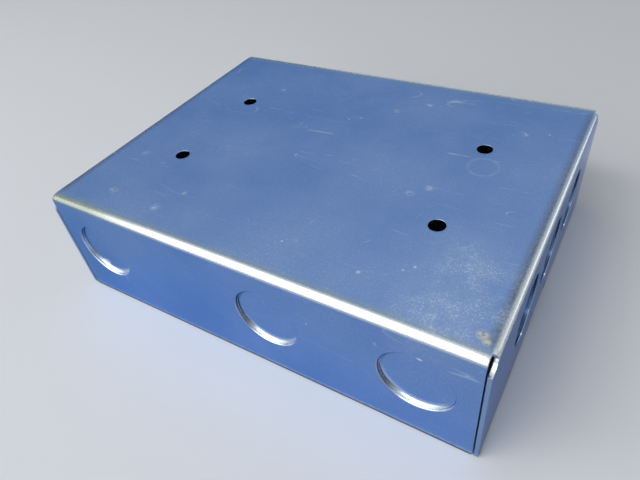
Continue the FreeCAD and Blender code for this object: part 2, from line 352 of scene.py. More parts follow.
def featureCentres():
    # Screw holes in the back, holes in the lugs and knockouts, as they lie on the blank
    backU, backV = blank["backHoles"]
    holes = [(su * backU, sv * backV) for su in (-1, 1) for sv in (-1, 1)]
    lugHoleU = lugFlatU + foldU - blank["lugHole"]
    lugHoles = [(-lugHoleU, 0.0), (lugHoleU, 0.0)]
    knockouts = []
    for side in (-1, 1):
        placeV = side * wallPlace(foldV, blank["knockoutHeight"])
        placeU = side * wallPlace(foldU, blank["knockoutHeight"])
        knockouts += [(u, placeV) for u in blank["longKnockouts"]]
        knockouts += [(placeU, v) for v in blank["shortKnockouts"]]
    return holes, lugHoles, knockouts


def flatTriangles(loops, firstDisc):
    # Points of every loop, then the lattice's points that aren't close to one
    flat, faces = [], []
    for loop in loops:
        faces.append(list(range(len(flat), len(flat) + len(loop))))
        flat += loop
    near = KDTree(len(flat))
    for i, (u, v) in enumerate(flat):
        near.insert((u, v, 0), i)
    near.balance()
    for u in linesU:
        for v in linesV:
            inCorner = abs(u) > blank["longWallEnd"] and abs(v) > blank["halfWidth"]
            offLug = abs(u) > rimU and abs(v) > blank["lugHalfWidth"]
            if not inCorner and not offLug and near.find((u, v, 0))[2] > blank["lineGap"]:
                flat.append((u, v))
    found = delaunay_2d_cdt([Vector(p) for p in flat], [], faces, 1, 1e-5)
    spots, triangles, sources, homes = found[0], found[2], found[3], found[5]
    spotOf = {source: i for i, group in enumerate(sources) for source in group}
    loopSpots = [[spotOf[i] for i in face] for face in faces]
    kept, discs = [], []
    for triangle, home in zip(triangles, homes):
        if any(i >= firstDisc for i in home):
            discs.append(triangle)
        elif set(home) == {0}:
            kept.append(triangle)
    return spots, loopSpots, kept, discs


def sheetMesh():
    outline = wholeOutline()
    holes, lugHoles, knockouts = featureCentres()
    holeRadius, discRadius = blank["backHoleRadius"], blank["knockoutRadius"]
    loops = [inset(outline, blank["punchedRoll"])]
    loops += [ring(c, holeRadius + blank["punchedRoll"]) for c in holes]
    loops += [ring(c, blank["collarRadius"] + blank["collarMargin"]) for c in lugHoles]
    loops += [ring(c, discRadius + blank["rimMargin"]) for c in knockouts]
    loops += [ring(c, discRadius - blank["discMargin"]) for c in knockouts]
    firstLug = 1 + len(holes)
    firstRim = firstLug + len(lugHoles)
    firstDisc = firstRim + len(knockouts)
    spots, loopSpots, kept, discs = flatTriangles(loops, firstDisc)

    sheet = Sheet()
    cutEnds = []
    for side in (1, -1):
        flip = side < 0
        used = {}
        sheet.skin(kept, spots, side * halfSheet, flip, used)
        sheet.skin(discs, spots, side * halfSheet - blank["knockoutPush"], flip, used)
        rings = [[used[i] for i in loop] for loop in loopSpots]
        ends = [sheet.profile(rings[0], cutRings(lambda away: inset(outline, away), side), not flip)]
        for start, centre in zip(rings[1:], holes):
            cut = cutRings(lambda away: ring(centre, holeRadius + away), side)
            ends.append(sheet.profile(start, cut, flip))
        for start, centre in zip(rings[firstLug:], lugHoles):
            ends.append(sheet.profile(start, lugHoleRings(centre, side), flip))
        cutEnds.append(ends)
        if side < 0:
            # The cuts from both faces meet inside the sheet
            for i, (first, second) in enumerate(zip(*cutEnds)):
                sheet.band(first, second, i == 0)
        for i, centre in enumerate(knockouts):
            sheet.profile(rings[firstRim + i], knockoutRings(centre, side), flip, rings[firstDisc + i])

    mesh = bpy.data.meshes.new("backBox")
    mesh.from_pydata([tuple(c * mm for c in p) for p in sheet.points], [], sheet.faces)
    shear = mesh.attributes.new("shear", "FLOAT", "POINT")
    shear.data.foreach_set("value", sheet.shear)
    blankPlace = mesh.attributes.new("blankPlace", "FLOAT_VECTOR", "POINT")
    blankPlace.data.foreach_set("vector", [c for p in sheet.points for c in p])
    return mesh


flatSheet = sheetMesh()
print("Blank punched:", len(flatSheet.polygons), "faces")


# Folding: a tree that carries each point of the blank round the bends, and taps the lugs
folding = {
    "Fold U": ("NodeSocketFloat", foldU * mm),
    "Fold V": ("NodeSocketFloat", foldV * mm),
    "Depth": ("NodeSocketFloat", blank["depth"] * mm),
    "Outer Bend": ("NodeSocketFloat", outerBend * mm),
    "Middle Bend": ("NodeSocketFloat", midBend * mm),
    "Long Wall End": ("NodeSocketFloat", (blank["longWallEnd"] + 0.02) * mm),
    "Lug Half Width": ("NodeSocketFloat", (blank["lugHalfWidth"] + blank["slitRadius"]) * mm),
    "Lug Fold": ("NodeSocketFloat", lugFold * mm),
    "Ripple": ("NodeSocketFloat", blank["ripple"] * mm),
    "Ripple Scale": ("NodeSocketFloat", blank["rippleScale"]),
    "Ripple Seed": ("NodeSocketFloat", 0.0),
    "Thread Radius": ("NodeSocketFloat", blank["threadRadius"] * mm),
    "Thread Pitch": ("NodeSocketFloat", blank["threadPitch"] * mm),
    "Thread Height": ("NodeSocketFloat", (
        blank["sheet"] + blank["collarHeight"] - 2 * blank["threadEnds"]) * mm),
    "Thread Place": ("NodeSocketVector", (
        blank["lugHole"] * mm, 0, (blank["lugSetBack"] + blank["threadEnds"]) * mm)),
    "Metal": ("NodeSocketMaterial", None),
}


def newTree(name, inputs):
    tree = bpy.data.node_groups.new(name, "GeometryNodeTree")
    tree.interface.new_socket("Geometry", in_out="INPUT", socket_type="NodeSocketGeometry")
    for label, (kind, value) in inputs.items():
        socket = tree.interface.new_socket(label, in_out="INPUT", socket_type=kind)
        if value is not None:
            socket.default_value = value
    tree.interface.new_socket("Geometry", in_out="OUTPUT", socket_type="NodeSocketGeometry")
    return tree, tree.nodes.new("NodeGroupInput").outputs, tree.nodes.new("NodeGroupOutput")


def bend(tree, away, arcLength, middle, fibre):
    # From the run past a fold: how far out and over the point goes, and the run left over
    run = calc(tree, "MAXIMUM", away, 0.0)
    turn = calc(tree, "DIVIDE", calc(tree, "MINIMUM", run, arcLength), middle)
    left = calc(tree, "MAXIMUM", calc(tree, "SUBTRACT", run, arcLength), 0.0)
    out = times(tree, fibre, calc(tree, "SINE", turn))
    over = times(tree, fibre, calc(tree, "COSINE", turn))
    return out, over, left


def foldTree():
    tree, given, result = newTree("foldBackBox", folding)
    middle = given["Middle Bend"]
    u, v, level = split(tree, addNode(tree, "GeometryNodeInputPosition").outputs[0])
    ripple = addNode(tree, "ShaderNodeTexNoise", {
        "Vector": combine(tree, u, v, given["Ripple Seed"]), "Scale": given["Ripple Scale"],
        "Detail": 1.0, "Roughness": 0.4})
    level = calc(tree, "SUBTRACT", level, times(tree, ripple.outputs[0], given["Ripple"]))
    fibre = calc(tree, "ADD", level, middle)
    arcLength = times(tree, middle, math.pi / 2)
    crown = calc(tree, "SUBTRACT", given["Depth"], given["Outer Bend"])
    farU = calc(tree, "ABSOLUTE", u)
    farV = calc(tree, "ABSOLUTE", v)

    # Short walls, and the lugs that turn in at their rims
    away = calc(tree, "SUBTRACT", farU, given["Fold U"])
    out, over, left = bend(tree, away, arcLength, middle, fibre)
    isLug = calc(tree, "LESS_THAN", farV, given["Lug Half Width"])
    past = calc(tree, "MAXIMUM", calc(tree, "SUBTRACT", left, given["Lug Fold"]), 0.0)
    past = times(tree, past, isLug)
    down, across, lugRun = bend(tree, past, arcLength, middle, fibre)
    reach = calc(tree, "ADD", calc(tree, "MINIMUM", farU, given["Fold U"]), out)
    reach = calc(tree, "ADD", reach, calc(tree, "SUBTRACT", across, fibre))
    reach = calc(tree, "SUBTRACT", reach, lugRun)
    height = calc(tree, "SUBTRACT", calc(tree, "ADD", crown, over), down)
    height = calc(tree, "SUBTRACT", height, calc(tree, "SUBTRACT", left, past))
    short = combine(tree, times(tree, reach, calc(tree, "SIGN", u)), v, height)

    # Long walls
    away = calc(tree, "SUBTRACT", farV, given["Fold V"])
    out, over, left = bend(tree, away, arcLength, middle, fibre)
    reach = calc(tree, "ADD", calc(tree, "MINIMUM", farV, given["Fold V"]), out)
    height = calc(tree, "SUBTRACT", calc(tree, "ADD", crown, over), left)
    long = combine(tree, u, times(tree, reach, calc(tree, "SIGN", v)), height)

    onLong = times(tree, calc(tree, "GREATER_THAN", farV, given["Fold V"]),
                   calc(tree, "LESS_THAN", farU, given["Long Wall End"]))
    which = addNode(tree, "ShaderNodeMix", {0: onLong, 4: short, 5: long}, data_type="VECTOR")
    folded = addNode(tree, "GeometryNodeSetPosition", {
        "Geometry": given["Geometry"], "Position": which.outputs[1]})

    # The tapped thread: a ridge wound up the wall of each lug hole
    turnsUp = calc(tree, "DIVIDE", given["Thread Height"], given["Thread Pitch"])
    spiral = addNode(tree, "GeometryNodeCurveSpiral", {
        "Resolution": blank["threadSteps"], "Rotations": turnsUp, "Height": given["Thread Height"],
        "Start Radius": given["Thread Radius"], "End Radius": given["Thread Radius"]})
    upright = addNode(tree, "GeometryNodeSetCurveNormal", {"Curve": spiral.outputs[0]}, mode="Z_UP")
    ridge = addNode(tree, "GeometryNodeCurvePrimitiveCircle", {
        "Resolution": 4, "Radius": times(tree, given["Thread Pitch"], blank["threadRidge"])})
    wound = addNode(tree, "GeometryNodeCurveToMesh", {
        "Curve": upright.outputs[0], "Profile Curve": ridge.outputs[0], "Fill Caps": True})
    wound = addNode(tree, "GeometryNodeStoreNamedAttribute", {
        "Geometry": wound.outputs[0], "Name": "shear", "Value": blank["threadShear"]},
        data_type="FLOAT", domain="POINT")
    index = addNode(tree, "GeometryNodeInputIndex").outputs[0]
    sides = calc(tree, "SUBTRACT", times(tree, index, 2.0), 1.0)
    x, y, z = split(tree, given["Thread Place"])
    places = addNode(tree, "GeometryNodePoints", {
        "Count": 2, "Position": combine(tree, times(tree, x, sides), y, z)})
    threads = addNode(tree, "GeometryNodeInstanceOnPoints", {
        "Points": places.outputs[0], "Instance": wound.outputs[0]})

    joined = addNode(tree, "GeometryNodeJoinGeometry")
    tree.links.new(threads.outputs[0], joined.inputs[0])
    tree.links.new(folded.outputs[0], joined.inputs[0])
    real = addNode(tree, "GeometryNodeRealizeInstances", {"Geometry": joined.outputs[0]})
    dressed = addNode(tree, "GeometryNodeSetMaterial", {
        "Geometry": real.outputs[0], "Material": given["Metal"]})
    tree.links.new(dressed.outputs[0], result.inputs[0])
    return tree


def applied(piece):
    # The evaluated result as a plain mesh, with the modifiers gone
    bpy.context.view_layer.update()
    evaluated = piece.evaluated_get(bpy.context.evaluated_depsgraph_get())
    mesh = bpy.data.meshes.new_from_object(evaluated)
    old, name = piece.data, piece.data.name
    piece.modifiers.clear()
    piece.data = mesh
    bpy.data.meshes.remove(old)
    mesh.name = name
    return mesh


# Zinc, as the photograph shows it on this sheet: bright, a little blue, clouded and scuffed
zinc = {
    "colour": (0.162, 0.285, 0.575, 1.0),
    "paleCloud": (0.218, 0.345, 0.625, 1.0),
    # the inner face: a paler, greyer copy of the zinc, painted light that lifts the shaded interior
    "insideColour": (0.31, 0.41, 0.58, 1.0),
    "grazingTint": (0.43, 0.58, 0.88, 1.0),
    # pale scuffs and wear, and the painted highlight line low on the walls
    "scuffAndHighlightColour": (0.62, 0.70, 0.82, 1.0),
    "stainColour": (0.70, 0.66, 0.40, 1.0),
    "cutColour": (0.34, 0.42, 0.51, 1.0),       # bare steel where the punch went through
    "paintedHighlightColour": (0.88, 0.92, 0.90, 1.0),   # painted highlight, white: low in the long walls' knockouts, low in the notches and at the glints
    "shadeColour": (0.05, 0.08, 0.13, 1.0),     # painted shade: on one side of the long walls' knockouts, on the short walls' knockout cuts and high in the notches
    "bendHighlightColour": (0.80, 0.83, 0.80, 1.0),      # painted highlight round the bends, on metal partly rubbed bright
    "bendFarHighlightColour": (0.30, 0.335, 0.27, 1.0),  # the painted highlight dimmer toward the left end
    "fringeColour": (0.30, 0.38, 0.39, 1.0),    # strip of the back beside the long bends: fine scuffing and a painted soft edge to the highlight
    "dullShadeColour": (0.14, 0.145, 0.12, 1.0),     # painted shade, dull olive: in the coarse bands where the short bends start, in the back holes' cut faces and low on the walls
    # The metal's own roughness, how its clouds change it, and what each layer adds
    "roughness": 0.13,
    "cloudRoughness": (-0.02, 0.03),
    "scuffRoughness": 0.20,
    "bendRoughness": 0.12,
    "dullRoughness": 0.25,
    "fringeRoughness": 0.14,
    "cutRoughness": 0.12,
    # Relief: its depth in millimetres, its strength, and what each pattern adds to it
    "reliefDepth": 0.02,
    "reliefStrength": 0.1,
    "grainRelief": 0.2,
    "rollingRelief": 0.3,
    "coarseRelief": 2.0,
    "tornRelief": 2.5,
    # Noises: scale, detail, roughness, and the range of each that is spread out to its full strength
    "noises": {
        "clouds": (30.0, 3.0, 0.55, 0.3, 0.7),
        "patchy": (160.0, 3.0, 0.6, 0.3, 0.6),
        "broken": (520.0, 4.0, 0.7, 0.42, 0.62),
        "specks": (1900.0, 2.0, 0.6, 0.56, 0.72),
        "coarse": (2300.0, 3.0, 0.7, 0.4, 0.62),
    },
    "grainScale": 2200.0,
    "fibreScale": 650.0,
    "fibreWidth": 0.03,
    "rollingStretch": (0.02, 3.2, 1.0),
    "streakStretch": (0.05, 0.05, 9.0),
    # Hairlines all over: direction in degrees, scale and shift of each family
    "hairs": ((17, 0.03, 3.0), (-38, 0.04, 11.0), (74, 0.026, 27.0), (-8, 0.05, 41.0), (48, 0.06, 55.0)),
    "hairStretch": 0.12,
    "hairWidth": 0.0011,
    "hairBreaks": (0.54, 0.62),
    "breakScale": 0.09,
    # How strongly each kind of wear shows
    "smudgeShare": 0.7,
    "nickShare": 0.7,
    "scratchShare": 0.5,
    "patchShare": 0.16,
    "fibreShare": 0.75,
    "dustShare": (0.12, 0.3),
    "ringShare": (0.06, 0.28),
    "stainShare": 0.9,
    "rimShare": 0.6,
    # Bands along the bends, of painted highlight, painted shade and fringe: start, middle and end of each,
    # in millimetres past the fold
    "shortBright": (0.1, 1.0, bendRun + 0.9),
    "longBright": (-0.6, 1.0, bendRun + 0.1),
    "shortDull": (-2.2, -0.1, 0.9),
    "longFringe": (-2.6, -0.2, 0.6),
    "longFade": (-56.0, -18.0),    # along the long bends, the painted highlight from dim to full
    "shortFade": (-45.0, 50.0),    # along the short bends, the painted highlight and shade from full to a little less
    "cornerFade": (4.0, 1.0),      # the coarse bands of painted shade end so far from the corners
    # Heights on the walls, in millimetres: the painted highlight line and the painted shadow low on them,
    # and the near notch's painted highlight and shade
    "rimHighlight": (0.7, 1.3, 2.4),
    "rimShade": (0.6, 1.0),
    "notchStart": (36.4, 36.9),
    "notchBright": (39.4, 39.9),
    "notchDark": (39.6, 40.1),
    # Crescents of painted highlight and painted shade in the knockouts: how far the inner edge is shifted,
    # and how it fades, in millimetres
    "highlightShift": (1.0, -2.9),
    "highlightFade": (0.0, 1.6),
    "shadeShift": (2.0, 0.4),
    "shadeFade": (0.8, 1.5),
    # Marks on the back and the front wall: place and size in millimetres
    "smudges": ((10.7, 33.0, 41.5, 1.8), (34.5, -10.0, 41.5, 1.7), (38.8, -5.6, 41.5, 1.7),
                (-61.0, -24.5, 41.5, 2.0), (-55.2, -45.8, 41.5, 2.2), (-31.2, -37.3, 41.5, 1.3),
                (-35.0, -46.8, 41.5, 2.2), (20.2, 41.0, 41.5, 1.6), (56.4, 33.0, 41.5, 1.6),
                (14.2, -41.6, 41.5, 1.0), (-40.0, 33.0, 41.5, 1.6), (46.4, -57.5, 32.3, 0.9)),
    "nicks": ((-3.2, 21.8, 41.5, 0.5), (0.6, 24.0, 41.5, 0.5), (63.5, 35.4, 41.5, 0.5),
              (35.9, -45.2, 41.5, 0.75), (48.2, -37.5, 41.5, 0.6), (45.9, -39.8, 41.5, 0.45),
              (11.0, -43.5, 41.5, 0.5), (25.8, -57.5, 28.8, 0.5), (69.5, -57.5, 34.0, 0.7)),
    "rings": ((49.9, 10.6, 41.5, 4.6),),
    "scuffedPatches": ((61.0, -33.0, 41.5, 15.0), (60.0, -50.5, 41.5, 16.0), (68.0, -44.0, 41.5, 11.0)),
    "stains": ((70.0, -50.6, 41.5, 1.9), (71.4, -52.3, 41.5, 1.3)),
    "strokes": (((-65.8, 16.0, 41.5), (-49.6, 11.4, 41.5)), ((-49.6, 11.4, 41.5), (-35.8, 13.1, 41.5)),
                ((5.7, -2.9, 41.5), (19.8, -3.3, 41.5)), ((-18.1, 18.0, 41.5), (-18.1, 9.7, 41.5)),
                ((14.1, -35.7, 41.5), (15.0, -30.0, 41.5)), ((54.5, -36.6, 41.5), (56.5, -27.8, 41.5)),
                ((55.6, -29.0, 41.5), (59.0, -22.9, 41.5)), ((30.6, -36.9, 41.5), (34.1, -31.9, 41.5)),
                ((-12.6, 32.7, 41.5), (-9.4, 38.9, 41.5)), ((51.4, 28.9, 41.5), (55.4, 35.0, 41.5)),
                ((48.1, -52.0, 41.5), (51.5, -48.2, 41.5)), ((-41.0, -14.7, 41.5), (-34.1, -8.6, 41.5)),
                ((48.9, -57.5, 34.2), (52.3, -57.5, 33.5)), ((10.9, -56.5, 33.2), (11.4, -56.5, 26.2))),
    "strokeWidth": 0.16,
    # Painted glints: low on the right wall's knockouts, in the left notch, on the front wall's discs
    "glints": ((75.0, -23.0, 12.0, 0.7), (75.0, 3.0, 12.0, 0.7), (75.0, 29.0, 12.0, 0.7),
               (-74.4, -57.4, 36.6, 1.3), (57.7, -56.5, 32.2, 1.15),
               (-61.4, -56.5, 15.0, 2.3), (-60.2, -56.5, 15.6, 1.9)),
}


def attribute(tree, name):
    return addNode(tree, "ShaderNodeAttribute", attribute_name=name, attribute_type="GEOMETRY").outputs


def spread(tree, value, low, high, start=0.0, end=1.0):
    node = addNode(tree, "ShaderNodeMapRange", {
        "Value": value, "From Min": low, "From Max": high, "To Min": start, "To Max": end})
    return node.outputs[0]


def fading(tree, height, heights, start=0.0, end=1.0):
    # The same between two heights given in millimetres
    return spread(tree, height, heights[0] * mm, heights[1] * mm, start, end)


def stripe(tree, value, low, middle, high):
    # Rises to one in the middle and falls off on both sides
    return times(tree, spread(tree, value, low, middle), spread(tree, value, middle, high, 1.0, 0.0))


def blend(tree, share, first, second):
    node = addNode(tree, "ShaderNodeMix", data_type="RGBA")
    feed(tree, node.inputs[0], share)
    feed(tree, node.inputs[6], first)
    feed(tree, node.inputs[7], second)
    return node.outputs[2]


def vector(tree, operation, first, second=None, output=0):
    node = addNode(tree, "ShaderNodeVectorMath", operation=operation)
    feed(tree, node.inputs[0], first)
    feed(tree, node.inputs[1], second)
    return node.outputs[output]


def noise(tree, place, scale, detail=2.0, roughness=0.5):
    return addNode(tree, "ShaderNodeTexNoise", {
        "Vector": place, "Scale": scale, "Detail": detail, "Roughness": roughness}).outputs[0]


def spreadNoise(tree, place, name):
    scale, detail, roughness, low, high = zinc["noises"][name]
    return spread(tree, noise(tree, place, scale, detail, roughness), low, high)


def stretched(tree, place, scale, turn=0.0, shift=0.0):
    return addNode(tree, "ShaderNodeMapping", {
        "Vector": place, "Location": (shift, shift * 0.7, 0), "Rotation": (0, 0, math.radians(turn)),
        "Scale": scale}).outputs[0]


def strongest(tree, covers):
    most = covers[0]
    for cover in covers[1:]:
        most = calc(tree, "MAXIMUM", most, cover)
    return most


def spots(tree, place, marks, edge=0.5, hollow=None):
    # How strongly any of the round marks, or the rings where they are hollow, covers a point
    covers = []
    for x, y, z, radius in marks:
        away = vector(tree, "DISTANCE", place, (x * mm, y * mm, z * mm), "Value")
        if hollow:
            away = calc(tree, "ABSOLUTE", calc(tree, "SUBTRACT", away, radius * mm))
            covers.append(spread(tree, away, 0.0, hollow * mm, 1.0, 0.0))
        else:
            covers.append(spread(tree, away, radius * edge * mm, radius * mm, 1.0, 0.0))
    return strongest(tree, covers)


def strokes(tree, place, marks, width):
    # Scratches drawn from one place to another
    covers = []
    for start, end in marks:
        start, end = Vector(start) * mm, Vector(end) * mm
        along = (end - start).normalized()
        gone = vector(tree, "SUBTRACT", place, start)
        reach = vector(tree, "DOT_PRODUCT", gone, along, "Value")
        held = calc(tree, "MINIMUM", calc(tree, "MAXIMUM", reach, 0.0), (end - start).length)
        foot = addNode(tree, "ShaderNodeVectorMath", {"Vector": along, "Scale": held}, operation="SCALE")
        away = vector(tree, "DISTANCE", gone, foot.outputs[0], "Value")
        covers.append(spread(tree, away, 0.0, width * mm, 1.0, 0.0))
    return strongest(tree, covers)


def crescents(tree, place, centres, shift, fade):
    # On the blank, between each knockout's circle and the same circle shifted
    radius = blank["knockoutRadius"]
    covers = []
    for u, v in centres:
        away = vector(tree, "DISTANCE", place, (u, v, 0), "Value")
        inner = vector(tree, "DISTANCE", place, (u + shift[0], v + shift[1], 0), "Value")
        covers.append(times(tree, spread(tree, away, radius + 0.1, radius + 0.45, 1.0, 0.0),
                            spread(tree, inner, radius + fade[0], radius + fade[1])))
    return strongest(tree, covers)


def hairlines(tree, place, scale, width, detail=1.0):
    # Contour lines of a noise
    away = calc(tree, "ABSOLUTE", calc(tree, "SUBTRACT", noise(tree, place, scale, detail, 0.4), 0.5))
    return spread(tree, away, 0.0, width, 1.0, 0.0)


def hairScratches(tree, onBlank):
    # Long hairlines in several directions, broken up by a second noise
    scratches = []
    scarce = zinc["breakScale"]
    for turn, scale, shift in zinc["hairs"]:
        along = stretched(tree, onBlank, (scale * zinc["hairStretch"], scale, 0.0), turn, shift)
        lines = hairlines(tree, along, 1.0, zinc["hairWidth"])
        breaks = noise(tree, stretched(tree, onBlank, (scarce, scarce, 0.0), 0.0, shift + 5), 1.0, 2.0, 0.6)
        scratches.append(times(tree, lines, spread(tree, breaks, *zinc["hairBreaks"])))
    return strongest(tree, scratches)


class Surface:
    # What the layers of the metal read: places on the object in metres and on the blank in
    # millimetres, how sheared the metal is, and the noises that several of them share
    def __init__(self, tree):
        self.place = addNode(tree, "ShaderNodeTexCoord").outputs["Object"]
        self.height = split(tree, self.place)[2]
        self.onBlank = attribute(tree, "blankPlace")["Vector"]
        self.shear = attribute(tree, "shear")["Fac"]
        self.u, self.v, self.level = split(tree, self.onBlank)
        self.farU = calc(tree, "ABSOLUTE", self.u)
        self.farV = calc(tree, "ABSOLUTE", self.v)
        self.pastU = calc(tree, "SUBTRACT", self.farU, foldU)
        self.pastV = calc(tree, "SUBTRACT", self.farV, foldV)
        self.shortSide = calc(tree, "LESS_THAN", self.farV, foldV)
        self.clouds = spreadNoise(tree, self.place, "clouds")
        self.coarse = spreadNoise(tree, self.place, "coarse")
        self.specks = spreadNoise(tree, self.place, "specks")
        self.broken = spreadNoise(tree, self.place, "broken")
        self.streaks = noise(tree, stretched(tree, self.onBlank, zinc["streakStretch"]), 1.0, 2.0, 0.6)


def wear(tree, at):
    # Smudges, nicks and strokes in their places, dust and hairlines all over
    fibres = hairlines(tree, at.place, zinc["fibreScale"], zinc["fibreWidth"], 3.0)
    drawn = times(tree, spread(tree, at.broken, 0.1, 0.5),
                  strokes(tree, at.place, zinc["strokes"], zinc["strokeWidth"]))
    scratches = calc(tree, "MAXIMUM", hairScratches(tree, at.onBlank), drawn)
    patches = times(tree, spots(tree, at.place, zinc["scuffedPatches"], 0.15),
                    spreadNoise(tree, at.place, "patchy"))
    dust = times(tree, at.specks, spread(tree, at.clouds, 0.2, 0.9, *zinc["dustShare"]))
    rubbed = calc(tree, "MAXIMUM", at.specks, times(tree, fibres, zinc["fibreShare"]))
    rubbed = times(tree, patches, rubbed)
    smudged = times(tree, spots(tree, at.place, zinc["smudges"], 0.2),
                    calc(tree, "MAXIMUM", at.broken, fibres))
    ringed = times(tree, spots(tree, at.place, zinc["rings"], hollow=0.8),
                   spread(tree, at.broken, 0.0, 1.0, *zinc["ringShare"]))
    nicked = spots(tree, at.place, zinc["nicks"], 0.3)
    return strongest(tree, [
        times(tree, smudged, zinc["smudgeShare"]), ringed, rubbed, dust,
        times(tree, patches, zinc["patchShare"]), times(tree, scratches, zinc["scratchShare"]),
        times(tree, nicked, zinc["nickShare"])])


def bendBands(tree, at):
    # The short bends carry a painted highlight on partly rubbed metal, with a coarse band of painted shade
    # before each.
    # The long ones carry a painted highlight too, dimmer to the left, and a fringe on the back of scuffing
    # and painted soft edge.
    longSide = calc(tree, "LESS_THAN", at.farU, foldU + 0.5)
    shortSideFade = times(tree, at.shortSide, spread(tree, at.v, *zinc["shortFade"], 1.0, 0.6))
    towardCorner = spread(tree, at.farV, *[foldV - x for x in zinc["cornerFade"]])
    # Painted highlight along the bends, on partly rubbed metal
    bright = calc(tree, "MAXIMUM",
                  times(tree, stripe(tree, at.pastU, *zinc["shortBright"]), shortSideFade),
                  times(tree, stripe(tree, at.pastV, *zinc["longBright"]), longSide))
    bright = times(tree, bright, spread(tree, at.coarse, 0.0, 1.0, 1.3, 1.8))
    bright = calc(tree, "MINIMUM", bright, 1.0)
    # Painted shade in the coarse band before each short bend
    dull = times(tree, stripe(tree, at.pastU, *zinc["shortDull"]), shortSideFade,
                 spread(tree, at.coarse, 0.0, 1.0, 1.0, 0.3), calc(tree, "SUBTRACT", 1.0, towardCorner))
    # Fine scuffing and the highlight's painted soft edge on the back
    fringe = times(tree, stripe(tree, at.pastV, *zinc["longFringe"]), longSide,
                   spread(tree, at.broken, 0.0, 1.0, 0.55, 1.0))
    return bright, dull, fringe


def rimBands(tree, at):
    # A painted highlight line low on the walls and a painted shadow under it where they stand on the bench,
    # not on the lugs
    onLug = times(tree, calc(tree, "GREATER_THAN", at.farU, lugBendU),
                  calc(tree, "LESS_THAN", at.farV, blank["lugHalfWidth"] + 0.4))
    offLug = calc(tree, "SUBTRACT", 1.0, onLug)
    low, middle, high = zinc["rimHighlight"]
    line = times(tree, stripe(tree, at.height, low * mm, middle * mm, high * mm),
                 spread(tree, at.broken, 0.0, 0.6, 0.4, 1.0), offLug)
    shade = times(tree, fading(tree, at.height, zinc["rimShade"], 0.9, 0.0), offLug)
    return line, shade


def cutMarks(tree, at):
    # Painted highlight: white crescents low in the long walls' knockout recesses, and glints. Painted shade
    # on one side of those recesses and on the short walls' knockout cuts. The notches get painted highlight
    # low down and painted shade above.
    onWall = combine(tree, at.u, at.farV)
    centres = [(u, wallPlace(foldV, blank["knockoutHeight"])) for u in blank["longKnockouts"]]
    # Painted highlight: white crescents low in the long walls' knockouts
    highlighted = crescents(tree, onWall, centres, zinc["highlightShift"], zinc["highlightFade"])
    highlighted = times(tree, highlighted, spread(tree, at.streaks, 0.35, 0.6, 0.6, 1.0))
    # Painted shade: dark crescents on one side of the same knockouts
    shaded = crescents(tree, onWall, centres, zinc["shadeShift"], zinc["shadeFade"])
    shaded = times(tree, shaded, spread(tree, at.u, *blank["longKnockouts"][:2], 0.3, 1.0),
                   spread(tree, at.streaks, 0.42, 0.58, 0.45, 0.95))
    # Painted shade on the short walls' knockout cuts
    dark = times(tree, calc(tree, "GREATER_THAN", at.pastU, bendRun + 2.0), at.shortSide,
                 spread(tree, at.shear, 0.55, 0.9))
    # Notches: painted highlight low down, painted shade above
    inNotch = times(tree, spread(tree, at.shear, 0.05, 0.3), calc(tree, "GREATER_THAN", at.pastU, 0.5),
                    fading(tree, at.height, zinc["notchStart"]))
    # Painted glints join the painted highlight
    highlighted = strongest(tree, [
        highlighted, spots(tree, at.place, zinc["glints"], 0.4),
        times(tree, inNotch, fading(tree, at.height, zinc["notchBright"], 1.0, 0.0))])
    notchShade = times(tree, inNotch, fading(tree, at.height, zinc["notchDark"], 0.0, 0.75))
    return highlighted, shaded, calc(tree, "MAXIMUM", dark, notchShade)


